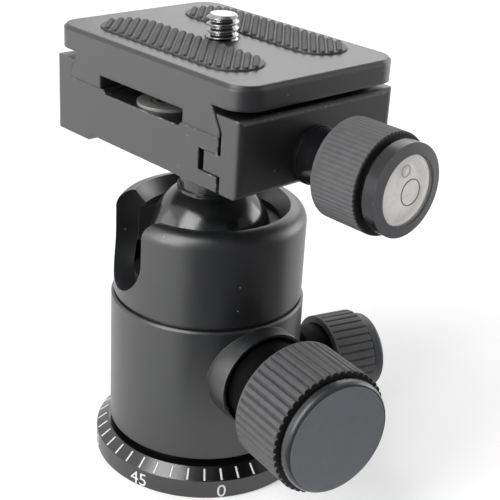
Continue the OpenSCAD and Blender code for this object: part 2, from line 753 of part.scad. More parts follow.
module clamp_bed() {
  left = -clamp_w / 2;
  step_end = left + step_w;
  seat = -dovetail_w / 2 - 2 * face_gap;
  flank_top = flank_run * (fixed_jaw_h - dovetail_lip) / flank_rise;
  groove = floor_groove_w / 2;
  color([0.15, 0.15, 0.16]) difference() {
    head() translate([0, clamp_offset, 0]) intersection() {
      clamp_plan();
      bar(clamp_len + 2 * over) polygon([
        [left, clamp_foot - step_h + jaw_bevel], [left + jaw_bevel, clamp_foot - step_h],
        [step_end, clamp_foot - step_h], [step_end + step_h, clamp_foot], [bed_face, clamp_foot],
        [bed_face, tongue_foot - tongue_play], [tongue_end - tongue_gap, tongue_foot - tongue_play],
        [tongue_end - tongue_gap, tongue_foot + tongue_h + face_gap],
        [bed_face, tongue_foot + tongue_h + face_gap], [bed_face, clamp_floor],
        [groove, clamp_floor], [groove - floor_groove_depth, groove_floor],
        [floor_groove_depth - groove, groove_floor], [-groove, clamp_floor], [seat, clamp_floor],
        [seat, clamp_floor + dovetail_lip], [seat + flank_top, clamp_floor + fixed_jaw_h],
        [left + jaw_bevel, clamp_floor + fixed_jaw_h],
        [left, clamp_floor + fixed_jaw_h - jaw_bevel]]);
    }
    head() translate([0, 0, clamp_foot - over]) cylinder(r = bolt_d / 2 + screw_gap, h = bed_t);
    head() translate([0, 0, groove_floor - bolt_head_h - screw_gap])
      cylinder(r = bolt_head_d / 2 + screw_gap, h = bed_t);
    across(draw_start - jaw_open - screw_gap, 0) cylinder(r = draw_d / 2 + running_gap, h = clamp_w);
    for (side = [-1, 1]) {
      across(-guide_pin_start, side * guide_pin_pitch / 2) cylinder(r = pin_r + face_gap, h = clamp_w);
      head() translate([0, side * guide_pin_pitch / 2, screw_h])
        cylinder(r = floor_screw_d / 2 + face_gap, h = bed_t);
    }
  }
}

module clamp_bolt() {
  head_foot = groove_floor - bolt_head_h - screw_gap;
  color([0.20, 0.20, 0.22]) head() difference() {
    union() {
      ring(0, bolt_d / 2, stem_len - stem_bore + screw_gap, head_foot);
      ring(0, bolt_head_d / 2, head_foot, head_foot + bolt_head_h);
    }
    translate([0, 0, head_foot + bolt_head_h / 3]) cylinder(d = bolt_d, h = bolt_head_h, $fn = 6);
  }
}

module guide_pins() {
  color([0.65, 0.65, 0.67]) for (side = [-1, 1])
    across(face_gap - guide_pin_start, side * guide_pin_pitch / 2)
      cylinder(r = pin_r, h = guide_pin_start + jaw_inner + guide_pin_reach);
}

module floor_screws() {
  color([0.62, 0.62, 0.62]) head() for (side = [-1, 1])
    translate([0, side * guide_pin_pitch / 2, 0]) difference() {
      union() {
        ring(0, floor_screw_d / 2, screw_h + pin_r + face_gap, groove_floor);
        ring(0, floor_screw_head_d / 2, groove_floor, groove_floor + floor_screw_head_t);
      }
      translate([0, 0, groove_floor]) cylinder(d = floor_socket_d, h = bed_t, $fn = 6);
    }
}

module clamp_jaw() {
  flank_top = flank_run * (moving_jaw_h - dovetail_lip) / flank_rise;
  color([0.15, 0.15, 0.16]) difference() {
    head() translate([0, clamp_offset, 0]) intersection() {
      clamp_plan();
      bar(clamp_len + 2 * over) polygon([
        [jaw_inner, clamp_foot], [jaw_face - jaw_bevel, clamp_foot],
        [jaw_face, clamp_foot + jaw_bevel], [jaw_face, clamp_floor + moving_jaw_h - jaw_bevel],
        [jaw_face - jaw_bevel, clamp_floor + moving_jaw_h],
        [jaw_inner - flank_top, clamp_floor + moving_jaw_h],
        [jaw_inner, clamp_floor + dovetail_lip], [jaw_inner, tongue_foot + tongue_h],
        [tongue_end, tongue_foot + tongue_h], [tongue_end, tongue_foot], [jaw_inner, tongue_foot]]);
    }
    across(0, 0) cylinder(r = draw_d / 2 + screw_gap, h = clamp_w);
    across(tongue_end - over, 0)
      cylinder(r = clip_r, h = tongue_len + over + clip_t + 2 * face_gap);
    for (side = [-1, 1]) across(0, side * guide_pin_pitch / 2)
      cylinder(r = pin_r + running_gap, h = jaw_inner + guide_pin_reach + jaw_open + screw_gap);
  }
}

module draw_screw() {
  color([0.62, 0.62, 0.64]) across(0, 0)
    ring(0, draw_d / 2, draw_start, clamp_grip_start + clamp_grip_len / 2);
}

module draw_clip() {
  color([0.35, 0.35, 0.37]) across(jaw_inner + face_gap, 0) ring(draw_d / 2, clip_d / 2, 0, clip_t);
}

module clamp_washer() {
  color([0.55, 0.55, 0.57]) across(jaw_face, 0)
    ring(draw_d / 2 + face_gap, neck_d / 2 + washer_rim, face_gap, washer_t);
}

module clamp_hub() {
  core_r = clamp_grip_d / 2 - clamp_grip_wall;
  middle = clamp_grip_start + clamp_grip_len / 2;
  color([0.08, 0.08, 0.09]) across(0, 0)
    knob_hub(neck_d / 2, core_r, draw_d / 2, jaw_face + washer_t, clamp_grip_start,
      clamp_grip_start + clamp_grip_len, core_r, level_seam, middle, draw_d / 2);
}

module clamp_grip() {
  color([0.18, 0.18, 0.19]) across(clamp_grip_start, 0)
    ribbed_sleeve(clamp_grip_d / 2, clamp_grip_wall, clamp_grip_len, clamp_rib_count, clamp_rib_depth);
}

module level_housing() {
  r = level_d / 2;
  pocket_r = vial_d / 2 + face_gap;
  color([0.06, 0.06, 0.07]) across(level_start, 0) rotate_extrude() polygon([
      [0, 0], [r, 0], [r, level_t - level_fall], [pocket_r, level_t],
      [pocket_r, level_t - vial_pocket], [0, level_t - vial_pocket]]);
}

module level_vial() {
  color([0.86, 0.85, 0.80]) across(level_start + level_t - vial_pocket, 0)
    ring(0, vial_d / 2, 0, vial_pocket - window_t - window_set);
}

module level_window() {
  r = vial_d / 2;
  top = window_t + window_dome;
  sphere_r = (r * r + window_dome * window_dome) / (2 * window_dome);
  color([0.92, 0.93, 0.92]) across(level_start + level_t - window_t - window_set, 0) intersection() {
    ring(0, r, 0, top);
    translate([0, 0, top - sphere_r]) sphere(sphere_r);
  }
}

module plate() {
  foot = dovetail_w / 2;
  neck = dovetail_neck_w / 2;
  slot = slot_w / 2;
  color([0.16, 0.16, 0.17]) head() translate([0, plate_offset, 0]) difference() {
    intersection() {
      union() {
        rounded_block(plate_w, plate_len, plate_corner, plate_foot, plate_top - plate_bevel);
        rounded_block(plate_w - 2 * plate_bevel, plate_len - 2 * plate_bevel,
          plate_corner - plate_bevel, plate_foot, plate_top);
      }
      bar(plate_len + 2 * over) polygon([
        [-foot, plate_foot], [-slot, plate_foot], [-slot, plate_foot + slot_depth],
        [slot, plate_foot + slot_depth], [slot, plate_foot], [foot, plate_foot],
        [foot, plate_foot + dovetail_lip], [neck, flange_foot], [plate_w, flange_foot],
        [plate_w, plate_top + over], [-plate_w, plate_top + over], [-plate_w, flange_foot],
        [-neck, flange_foot], [-foot, plate_foot + dovetail_lip]]);
    }
    translate([camera_offset, camera_shift, plate_foot])
      cylinder(r = camera_d / 2 + screw_gap, h = plate_top);
    for (y = [-1, 1]) translate([pad_offset, pad_shift + y * pad_pitch / 2, plate_top - pad_recess])
      linear_extrude(plate_top) pad_outline(face_gap);
  }
}

// The outline of a pad: a long round-ended strip, grown by a margin.
module pad_outline(margin) {
  r = pad_w / 2 + margin;
  run = pad_len - pad_w;
  union() {
    square([run, 2 * r], center = true);
    for (x = [-1, 1]) translate([x * run / 2, 0]) circle(r);
  }
}

module pads() {
  color([0.10, 0.10, 0.10]) head() for (y = [-1, 1])
    translate([pad_offset, pad_y + y * pad_pitch / 2, plate_top - pad_recess])
      linear_extrude(pad_recess + pad_proud) pad_outline(0);
}

module camera_screw() {
  head_foot = plate_foot + slot_depth - camera_play - camera_head_t;
  color([0.80, 0.80, 0.82]) head() translate([camera_offset, camera_y, 0]) difference() {
    union() {
      ring(0, camera_head_d / 2, head_foot, head_foot + camera_head_t);
      ring(0, camera_neck_d / 2, head_foot, plate_top - camera_thread_in);
      ring(0, camera_d / 2, plate_top - camera_thread_in, plate_top + camera_proud);
    }
    translate([-camera_head_d, -coin_slot_w / 2, head_foot - over])
      cube([2 * camera_head_d, coin_slot_w, over + camera_head_t / 2]);
  }
}

pan_base();
tripod_bush();
pan_washer();
housing();
shell();
grub_screws();
race();
lower_seat();
lock_plunger();
lock_bush();
lock_stud();
lock_hub();
lock_grip();
lock_cap();
lock_screw();
pan_shoe();
pan_stud();
pan_hub();
pan_grip();
pan_cap();
ball();
clamp_bed();
clamp_bolt();
guide_pins();
floor_screws();
clamp_jaw();
draw_screw();
draw_clip();
clamp_washer();
clamp_hub();
clamp_grip();
level_housing();
level_vial();
level_window();
plate();
pads();
camera_screw();
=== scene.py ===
"""Tripod ball head with a dovetail clamp and a quick-release plate, dressed for rendering.

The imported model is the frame: every length below is in millimetres in that frame, +Z up, with the origin
under the pan base and +X along the main lock knob, and goes into the meshes in metres.
"""
import math

import bmesh
import bpy
import numpy as np
from mathutils import Matrix, Vector


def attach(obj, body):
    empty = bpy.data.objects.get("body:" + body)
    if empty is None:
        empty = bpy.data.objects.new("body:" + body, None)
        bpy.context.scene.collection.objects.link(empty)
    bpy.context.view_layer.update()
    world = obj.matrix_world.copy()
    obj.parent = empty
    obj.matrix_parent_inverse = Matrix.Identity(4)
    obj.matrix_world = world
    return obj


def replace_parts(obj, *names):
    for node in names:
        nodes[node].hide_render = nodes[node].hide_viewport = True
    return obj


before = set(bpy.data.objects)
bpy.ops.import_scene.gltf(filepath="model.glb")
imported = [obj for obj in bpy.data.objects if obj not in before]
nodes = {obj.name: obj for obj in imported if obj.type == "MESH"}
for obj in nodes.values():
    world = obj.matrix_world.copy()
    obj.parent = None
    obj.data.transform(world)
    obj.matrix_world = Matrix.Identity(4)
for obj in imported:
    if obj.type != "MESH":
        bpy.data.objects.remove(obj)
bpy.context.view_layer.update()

MM = 0.001

# --------------------------------------------------------------------------------------------------------
# Camera. A long lens a quarter of a metre away, a little above the head and turned a few degrees about its
# own line of sight. The lens is 83 mm on a 36 mm wide sensor.
TARGET = (4.84, 6.91, 46.27)
DISTANCE = 239.6
AZIMUTH, ELEVATION, ROLL = 55.0, 24.33, 3.48
LENS, SENSOR = 83.1, 36.0
CLIP_START, CLIP_END = 0.01, 20.0


def outward(azimuth, elevation):
    """The direction that leads away from the head: azimuth 0 is the side of -Y, and 90 that of +X."""
    a, e = math.radians(azimuth), math.radians(elevation)
    return Vector((math.sin(a) * math.cos(e), -math.cos(a) * math.cos(e), math.sin(e)))


back = outward(AZIMUTH, ELEVATION)
camera = bpy.data.objects.new("camera", bpy.data.cameras.new("camera"))
bpy.context.scene.collection.objects.link(camera)
camera.data.lens, camera.data.sensor_width = LENS, SENSOR
camera.data.clip_start, camera.data.clip_end = CLIP_START, CLIP_END
looking = (-back).to_track_quat("-Z", "Y").to_matrix().to_4x4() @ Matrix.Rotation(math.radians(ROLL), 4, "Z")
camera.matrix_world = Matrix.Translation((Vector(TARGET) + DISTANCE * back) * MM) @ looking
bpy.context.scene.camera = camera
bpy.context.scene.view_settings.view_transform = "Standard"

# --------------------------------------------------------------------------------------------------------
# Studio. A white floor, soft boxes at the front, at the left, behind and at the right, and a dark flag round
# the camera's side that only glosses show. The background is the floor's and the world's own white, and the
# floor's rises with the distance from the head.
WHITE_WORLD, FILL_WORLD = 1.0, 0.50     # strength as it is seen, and as a light
FLOOR_COLOUR, FLOOR_HALF = (0.86, 0.86, 0.86, 1), 6.0
NEAR, NEAR_LIFT, FAR, FAR_LIFT = 0.4, 0.24, 1.2, 0.60       # metres from the head, and white added there
AIM_Z = 0.05                            # metres above the floor, where the soft boxes point
SOFT_BOXES = (                          # name, azimuth, elevation, distance, width, height, radiance
    ("key_box", 8.0, 34.0, 0.60, 0.34, 0.72, 5.0),
    ("left_box", -36.0, 6.0, 0.55, 0.36, 0.36, 1.3),
    ("back_box", 225.0, 34.0, 0.70, 0.50, 0.50, 1.5),
    ("right_box", 172.0, 8.0, 0.60, 0.34, 0.34, 3.0),
)
FLAG_FROM, FLAG_TO, FLAG_SHADE = 34.0, 154.0, (0.18, 0.18, 0.19, 1)
FLAG_PATH = ((0.060, 0.001), (0.45, 0.001), (0.60, 0.10), (0.60, 0.55), (0.45, 0.85), (0.20, 1.0))
FLAG_STEPS = 25                         # the path is (reach, height) in metres, swept round in these steps


def node(tree, kind, sockets=None, **settings):
    """Adds one shader node. A socket is handed a value, or the output that it is linked to."""
    made = tree.nodes.new("ShaderNode" + kind)
    for key, value in settings.items():
        setattr(made, key, value)
    for key, value in (sockets or {}).items():
        if isinstance(value, bpy.types.NodeSocket):
            tree.links.new(value, made.inputs[key])
        else:
            made.inputs[key].default_value = value
    return made


def seen_directly(tree):
    """1 for a ray from the camera, off a gloss or through glass, and 0 for light off matt faces."""
    path = node(tree, "LightPath")
    either = node(tree, "Math", {0: path.outputs["Is Camera Ray"], 1: path.outputs["Is Glossy Ray"]},
                  operation="MAXIMUM")
    return node(tree, "Math", {0: either.outputs[0], 1: path.outputs["Is Transmission Ray"]},
                operation="MAXIMUM").outputs[0]


world = bpy.data.worlds.new("studio")
bpy.context.scene.world = world
world.use_nodes = True
tree = world.node_tree
strength = node(tree, "MapRange", {"Value": seen_directly(tree), "To Min": FILL_WORLD,
                                   "To Max": WHITE_WORLD})
tree.links.new(strength.outputs[0], tree.nodes["Background"].inputs["Strength"])
tree.nodes["Background"].inputs["Color"].default_value = (1, 1, 1, 1)

sweep = bpy.data.materials.new("white_sweep")
sweep.use_nodes = True
tree = sweep.node_tree
tree.nodes.clear()
matt = node(tree, "BsdfDiffuse", {"Color": FLOOR_COLOUR})
away = node(tree, "VectorMath", {0: node(tree, "TexCoord").outputs["Object"]}, operation="LENGTH")
white = node(tree, "MapRange", {"Value": away.outputs["Value"], "From Min": NEAR, "From Max": FAR,
                                "To Min": NEAR_LIFT, "To Max": FAR_LIFT})
lift = node(tree, "Math", {0: seen_directly(tree), 1: white.outputs[0]}, operation="MULTIPLY")
glow = node(tree, "Emission", {"Color": (1, 1, 1, 1), "Strength": lift.outputs[0]})
both = node(tree, "AddShader", {0: matt.outputs[0], 1: glow.outputs[0]})
node(tree, "OutputMaterial", {"Surface": both.outputs[0]})


def stage_piece(name, points, faces, material):
    """Makes a piece of the studio from points in metres."""
    mesh = bpy.data.meshes.new(name)
    mesh.from_pydata(points, [], faces)
    mesh.materials.append(material)
    piece = bpy.data.objects.new(name, mesh)
    bpy.context.scene.collection.objects.link(piece)
    return piece


def grid_faces(rows, columns, around=True):
    """Four-cornered faces between neighbouring points of a grid, closed round the columns if it goes
    around."""
    index = np.arange(rows * columns).reshape(rows, columns)
    if around:
        index = np.concatenate([index, index[:, :1]], 1)
    return np.stack([index[:-1, :-1], index[:-1, 1:], index[1:, 1:], index[1:, :-1]], -1).reshape(-1, 4)


corners = [(x * FLOOR_HALF, y * FLOOR_HALF, 0) for x, y in ((-1, -1), (1, -1), (1, 1), (-1, 1))]
stage_piece("floor", corners, [(0, 1, 2, 3)], sweep)

for name, azimuth, elevation, distance, width, height, radiance in SOFT_BOXES:
    out = outward(azimuth, elevation)
    lamp = bpy.data.lights.new(name, "AREA")
    lamp.shape, lamp.size, lamp.size_y = "RECTANGLE", width, height
    lamp.energy = radiance * math.pi * width * height
    box = bpy.data.objects.new(name, lamp)
    bpy.context.scene.collection.objects.link(box)
    box.matrix_world = (Matrix.Translation(Vector((0, 0, AIM_Z)) + distance * out)
                        @ (-out).to_track_quat("-Z", "Y").to_matrix().to_4x4())
    box.visible_camera = False

card = bpy.data.materials.new("dark_flag")
card.use_nodes = True
tree = card.node_tree
tree.nodes.clear()
node(tree, "OutputMaterial", {"Surface": node(tree, "Emission", {"Color": FLAG_SHADE}).outputs[0]})
turns = np.radians(np.linspace(FLAG_FROM, FLAG_TO, FLAG_STEPS))
reach, rise = np.array(FLAG_PATH).T
points = np.stack([np.outer(reach, np.sin(turns)), -np.outer(reach, np.cos(turns)),
                   rise[:, None] + 0 * turns], -1).reshape(-1, 3)
faces = grid_faces(len(FLAG_PATH), FLAG_STEPS, around=False)
flag = stage_piece("flag", points.tolist(), faces.tolist(), card)
flag.visible_camera = flag.visible_diffuse = flag.visible_shadow = flag.visible_transmission = False

# --------------------------------------------------------------------------------------------------------
# Pan base. One turned disc of aluminium, blasted and anodised black, with the pivot post on it. Its sloped
# band carries forty engraved lines.
BASE_BLACK, BASE_ROUGHNESS = (0.007, 0.0075, 0.0085, 1), 0.36
BEVEL_FOOT, BEVEL_BLACK, BEVEL_ROUGHNESS = 4.1, (0.004, 0.004, 0.0045, 1), 0.20
NOISE_LOW, NOISE_HIGH = 0.3, 0.7        # the part of a noise's range that is stretched over the mottling
EDGE_FLAT, EDGE_ROUND = 0.985, 0.90     # the cosines at which an edge begins to be worn, and is worn fully
CHIP_SIZE, CHIP_FROM, CHIP_TO = 0.9, 0.54, 0.62
DUST_CELL, DUST_RIM, DUST_CORE, DUST_GREY = 2.4, 0.075, 0.045, (0.22, 0.22, 0.21, 1)
BUMP_HEIGHT = 0.04


def dress(node_names, material):
    """Gives CAD nodes one material in place of their own."""
    for name in node_names:
        mesh = nodes[name].data
        mesh.materials.clear()
        mesh.materials.append(material)


def finish(name, colour, roughness, specular=0.5, metallic=0.0, mottle=0.25, mottle_size=2.0, grain=0.15,
           grain_size=0.12, worn=0.0, worn_colour=(0.30, 0.30, 0.31, 1), edge_radius=0.15, dust=0.0,
           rough_spread=0.08, lines=None, coat=0.0):
    """A finish from four layers: the colour, mottled by coarse noise and dotted with dust; paler worn edges,
    where a rounded normal departs from the face's own; roughness that follows the mottling; and a grain
    bump. lines is (axis, pitch in mm, depth) for tool marks across that axis."""
    material = bpy.data.materials.new(name)
    material.use_nodes = True
    tree = material.node_tree
    shader = tree.nodes["Principled BSDF"]
    where = node(tree, "TexCoord").outputs["Object"]
    coarse = node(tree, "TexNoise", {"Vector": where, "Scale": 1 / (mottle_size * MM), "Detail": 4.0,
                                     "Roughness": 0.6})
    shade = node(tree, "MapRange", {"Value": coarse.outputs["Fac"], "From Min": NOISE_LOW,
                                    "From Max": NOISE_HIGH, "To Min": 1 - mottle, "To Max": 1 + mottle})
    base = node(tree, "VectorMath", {0: colour[:3], "Scale": shade.outputs[0]}, operation="SCALE").outputs[0]
    rounded = node(tree, "Bevel", {"Radius": edge_radius * MM}, samples=4)
    if worn:
        face = node(tree, "NewGeometry").outputs["True Normal"]
        bend = node(tree, "VectorMath", {0: rounded.outputs[0], 1: face}, operation="DOT_PRODUCT")
        patch = node(tree, "TexNoise", {"Vector": where, "Scale": 1 / (CHIP_SIZE * MM), "Detail": 3.0})
        bare = node(tree, "MapRange", {"Value": bend.outputs["Value"], "From Min": EDGE_FLAT,
                                       "From Max": EDGE_ROUND, "To Min": 0.0, "To Max": worn})
        spots = node(tree, "MapRange", {"Value": patch.outputs["Fac"], "From Min": CHIP_FROM,
                                        "From Max": CHIP_TO})
        share = node(tree, "Math", {0: bare.outputs[0], 1: spots.outputs[0]},
                     operation="MULTIPLY").outputs[0]
        base = node(tree, "Mix", {"Factor": share, "A": base, "B": worn_colour},
                    data_type="RGBA").outputs["Result"]
    if dust:
        speck = node(tree, "TexVoronoi", {"Vector": where, "Scale": 1 / (DUST_CELL * MM)})
        dot = node(tree, "MapRange", {"Value": speck.outputs["Distance"], "From Min": DUST_RIM,
                                      "From Max": DUST_CORE})
        pick = node(tree, "SeparateColor", {"Color": speck.outputs["Color"]})
        some = node(tree, "Math", {0: pick.outputs[0], 1: 1 - dust}, operation="GREATER_THAN")
        share = node(tree, "Math", {0: dot.outputs[0], 1: some.outputs[0]}, operation="MULTIPLY").outputs[0]
        base = node(tree, "Mix", {"Factor": share, "A": base, "B": DUST_GREY},
                    data_type="RGBA").outputs["Result"]
    tree.links.new(base, shader.inputs["Base Color"])
    rough = node(tree, "MapRange", {"Value": coarse.outputs["Fac"], "From Min": NOISE_LOW,
                                    "From Max": NOISE_HIGH, "To Min": roughness - rough_spread,
                                    "To Max": roughness + rough_spread})
    tree.links.new(rough.outputs[0], shader.inputs["Roughness"])
    fine = node(tree, "TexNoise", {"Vector": where, "Scale": 1 / (grain_size * MM), "Detail": 2.0})
    height = fine.outputs["Fac"]
    if lines:
        axis, pitch, depth = lines
        part = node(tree, "SeparateXYZ", {"Vector": where})
        phase = node(tree, "Math", {0: part.outputs[axis], 1: 2 * math.pi / (pitch * MM)},
                     operation="MULTIPLY")
        wave = node(tree, "Math", {0: phase.outputs[0]}, operation="SINE")
        height = node(tree, "Math", {0: wave.outputs[0], 1: depth, 2: height},
                      operation="MULTIPLY_ADD").outputs[0]
    bump = node(tree, "Bump", {"Strength": grain, "Distance": BUMP_HEIGHT * MM, "Height": height,
                               "Normal": rounded.outputs[0]})
    tree.links.new(bump.outputs[0], shader.inputs["Normal"])
    shader.inputs["Metallic"].default_value = metallic
    shader.inputs["Specular IOR Level"].default_value = specular
    shader.inputs["Coat Weight"].default_value = coat
    return material


def recolour(material, origin, axis, measure, start, colour, roughness, soft=0.04):
    """Gives a finish another colour and roughness where the distance from an axis through origin, or the
    distance along it, is more than start."""
    tree = material.node_tree
    shader = tree.nodes["Principled BSDF"]
    place = node(tree, "VectorMath", {0: node(tree, "TexCoord").outputs["Object"],
                                      1: tuple(v * MM for v in origin)}, operation="SUBTRACT").outputs[0]
    if measure == "radius":
        aside = node(tree, "VectorMath", {0: place, 1: axis}, operation="CROSS_PRODUCT").outputs[0]
        reach = node(tree, "VectorMath", {0: aside}, operation="LENGTH").outputs["Value"]
    else:
        reach = node(tree, "VectorMath", {0: place, 1: axis}, operation="DOT_PRODUCT").outputs["Value"]
    share = node(tree, "MapRange", {"Value": reach, "From Min": (start - soft) * MM,
                                    "From Max": (start + soft) * MM}).outputs[0]
    for socket, kind, value in (("Base Color", "RGBA", colour), ("Roughness", "FLOAT", roughness)):
        before = shader.inputs[socket].links[0].from_socket
        mixed = node(tree, "Mix", {"Factor": share}, data_type=kind)
        ends = [s for s in mixed.inputs if s.enabled and s.name in ("A", "B")]
        tree.links.new(before, ends[0])
        ends[1].default_value = value
        tree.links.new([s for s in mixed.outputs if s.enabled][0], shader.inputs[socket])


base_finish = finish("base_anodised", BASE_BLACK, BASE_ROUGHNESS, specular=1.0, worn=0.5, dust=0.10)
recolour(base_finish, (0, 0, 0), (0, 0, 1), "along", BEVEL_FOOT, BEVEL_BLACK, BEVEL_ROUGHNESS)
dress(["pan_base"], base_finish)

# --------------------------------------------------------------------------------------------------------
# Scale. White paint fills the engraved lines of the sloped band, and plain numbers every 45 degrees are
# printed on the upright rim below it.
BASE_R, RIM_H, BEVEL_H, BEVEL_W = 23.1, 4.1, 1.95, 2.5
TICKS, TICK_W, TICK_DEPTH, TICK_PROUD, ZERO_TURN = 40, 0.34, 0.15, 0.01, -21.0
TICK_FROM, TICK_TO = 0.08, 0.86         # shares of the slope's length, from its foot
NUMBERS, DIGIT_H, DIGIT_SHARE, DIGIT_Z, PRINT_T, PRINT_SINK = 8, 2.95, 0.70, 1.75, 0.03, 0.005
PAINT = (0.80, 0.80, 0.78, 1)
MERGE = 1e-7                            # metres within which two points become one


def solid(name, points, faces, material, body, angle=35):
    """Makes a mesh from points in millimetres and rows of corner numbers, merges its doubled points, turns
    its faces outwards, and lets it ride on a body."""
    mesh = bpy.data.meshes.new(name)
    mesh.from_pydata((np.asarray(points, float).reshape(-1, 3) * MM).tolist(), [], faces.tolist())
    work = bmesh.new()
    work.from_mesh(mesh)
    bmesh.ops.remove_doubles(work, verts=work.verts, dist=MERGE)
    bmesh.ops.recalc_face_normals(work, faces=work.faces)
    work.to_mesh(mesh)
    work.free()
    mesh.shade_smooth()
    mesh.set_sharp_from_angle(angle=math.radians(angle))
    mesh.materials.append(material)
    piece = bpy.data.objects.new(name, mesh)
    bpy.context.scene.collection.objects.link(piece)
    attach(piece, body)
    return piece


paint = finish("scale_paint", PAINT, 0.55, mottle=0.08, mottle_size=0.4, grain=0.3, grain_size=0.08)
slope = math.atan2(BEVEL_H, BEVEL_W)
run = math.hypot(BEVEL_W, BEVEL_H)
turns = np.radians(ZERO_TURN + np.arange(TICKS) * 360 / TICKS)
block = np.array([(s, t, u) for s in (TICK_FROM * run, TICK_TO * run) for t in (-TICK_W / 2, TICK_W / 2)
                  for u in (-TICK_DEPTH, TICK_PROUD)])
reach = BASE_R - block[:, 0] * math.cos(slope) + block[:, 2] * math.sin(slope)
rise = RIM_H + block[:, 0] * math.sin(slope) + block[:, 2] * math.cos(slope)
c, s = np.cos(turns)[:, None], np.sin(turns)[:, None]
tick_points = np.stack([c * reach - s * block[:, 1], s * reach + c * block[:, 1], rise + 0 * c], -1)
box_faces = np.array([(0, 1, 3, 2), (4, 6, 7, 5), (0, 4, 5, 1), (2, 3, 7, 6), (0, 2, 6, 4), (1, 5, 7, 3)])
tick_faces = (box_faces[None] + len(block) * np.arange(TICKS)[:, None, None]).reshape(-1, 4)
solid("scale_lines", tick_points, tick_faces, paint, "pan_base")

digit_points, digit_faces, start = [], [], 0
for degrees in range(0, 360, 360 // NUMBERS):
    words = bpy.data.curves.new("number", "FONT")
    words.body, words.size = str(degrees), DIGIT_H / DIGIT_SHARE
    words.align_x, words.align_y = "CENTER", "CENTER"
    words.extrude, words.resolution_u = PRINT_T / 2, 3
    flat = bpy.data.objects.new("number", words)
    bpy.context.scene.collection.objects.link(flat)
    bpy.context.view_layer.update()
    shape = bpy.data.meshes.new_from_object(flat.evaluated_get(bpy.context.evaluated_depsgraph_get()))
    work = bmesh.new()
    work.from_mesh(shape)
    bmesh.ops.triangulate(work, faces=work.faces)
    flat_points = np.array([v.co for v in work.verts])
    digit_faces.append(np.array([[v.index for v in f.verts] for f in work.faces]) + start)
    work.free()
    bpy.data.objects.remove(flat)
    middle = (flat_points.max(0) + flat_points.min(0)) / 2
    turn = math.radians(ZERO_TURN - degrees) + (flat_points[:, 0] - middle[0]) / BASE_R
    out = BASE_R + PRINT_T / 2 + flat_points[:, 2] - PRINT_SINK
    digit_points.append(np.stack([out * np.cos(turn), out * np.sin(turn),
                                  DIGIT_Z + flat_points[:, 1] - middle[1]], -1))
    start += len(flat_points)
solid("scale_numbers", np.concatenate(digit_points), np.concatenate(digit_faces), paint, "pan_base",
      angle=20)

# --------------------------------------------------------------------------------------------------------
# Bush and slip washer. The threaded bush for the tripod's 3/8 inch screw is plain steel, and the washer that
# the housing glides on is black acetal.
steel = finish("plain_steel", (0.42, 0.41, 0.39, 1), 0.34, metallic=1.0, mottle=0.12, grain=0.2,
               lines=("Z", 0.35, 0.5))
acetal = finish("black_acetal", (0.012, 0.012, 0.013, 1), 0.38, mottle=0.15, grain=0.1, dust=0.05)
dress(["tripod_bush", "lock_bush", "guide_pins"], steel)
dress(["pan_washer", "lower_seat"], acetal)

# --------------------------------------------------------------------------------------------------------
# Housing and shell. Two turned pieces of aluminium, blasted fine and anodised black. The shell screws into
# the housing and leaves a narrow groove between them.
body_finish = finish("body_anodised", (0.008, 0.0085, 0.0095, 1), 0.36, specular=1.0, mottle=0.12, worn=0.35,
                     dust=0.08, rough_spread=0.02, lines=("Z", 0.25, 0.15))
dress(["housing", "shell"], body_finish)
dark_steel = finish("dark_steel", (0.10, 0.10, 0.105, 1), 0.36, metallic=1.0, mottle=0.15, grain=0.2)
dress(["grub_screws", "clamp_bolt", "draw_clip", "lock_screw"], dark_steel)

# --------------------------------------------------------------------------------------------------------
# Race, ball and stem. The race is a ring of hard black plastic. The ball and its stem are one piece of turned
# and polished aluminium, with a glossy black coat that is slightly uneven.
race_finish = finish("race_plastic", (0.012, 0.012, 0.012, 1), 0.45, mottle=0.3, grain=0.4, dust=0.2)
dress(["race"], race_finish)
ball_finish = finish("ball_coat", (0.008, 0.0085, 0.009, 1), 0.20, specular=0.9, mottle=0.2, grain=0.22,
                     grain_size=0.45, dust=0.05, rough_spread=0.06)
dress(["ball"], ball_finish)

# --------------------------------------------------------------------------------------------------------
# Inner working pieces of the two locks. A brass plunger and a brass shoe slide in the housing, and a stud of
# plain steel in each knob presses on them. The clamp's draw screw is of the same steel.
brass = finish("brass", (0.52, 0.36, 0.14, 1), 0.32, metallic=1.0, mottle=0.12, grain=0.2)
dress(["lock_plunger", "pan_shoe"], brass)
dress(["lock_stud", "pan_stud", "draw_screw"], steel)

# --------------------------------------------------------------------------------------------------------
# Main lock knob. A hub of black plastic on the stud, near black as painted shade for the recess it sits in, a
# sleeve of grey-black rubber with 48 straight ribs pressed over it, and a turned cap with a polished edge.
LOCK_Z = 26.4
LOCK_GRIP, LOCK_GRIP_LEN, LOCK_GRIP_R, LOCK_CORE_R = 31.5, 12.7, 12.8, 10.9
LOCK_RIBS, LOCK_RIB_DEPTH, LOCK_GROOVE = 48, 0.55, 0.56
GRIP_RIM, GRIP_EDGE, END_FACE = 0.35, 0.30, 0.12
# The sleeves' end faces are given a near black colour: painted shade.
RUBBER, END_SHADE, RUBBER_ROUGHNESS = (0.078, 0.077, 0.080, 1), (0.008, 0.008, 0.009, 1), 0.60


def knob_axis(turn):
    """The direction of X, swung by turn degrees about the pan axis."""
    return math.cos(math.radians(turn)), math.sin(math.radians(turn)), 0


def along(points, turn, lift):
    """Turns Z into X, swings that by turn degrees about the pan axis and lifts it."""
    x, y, z = points[..., 2], points[..., 1], -points[..., 0]
    c, s, _ = knob_axis(turn)
    return np.stack([c * x - s * y, s * x + c * y, z + lift], -1)


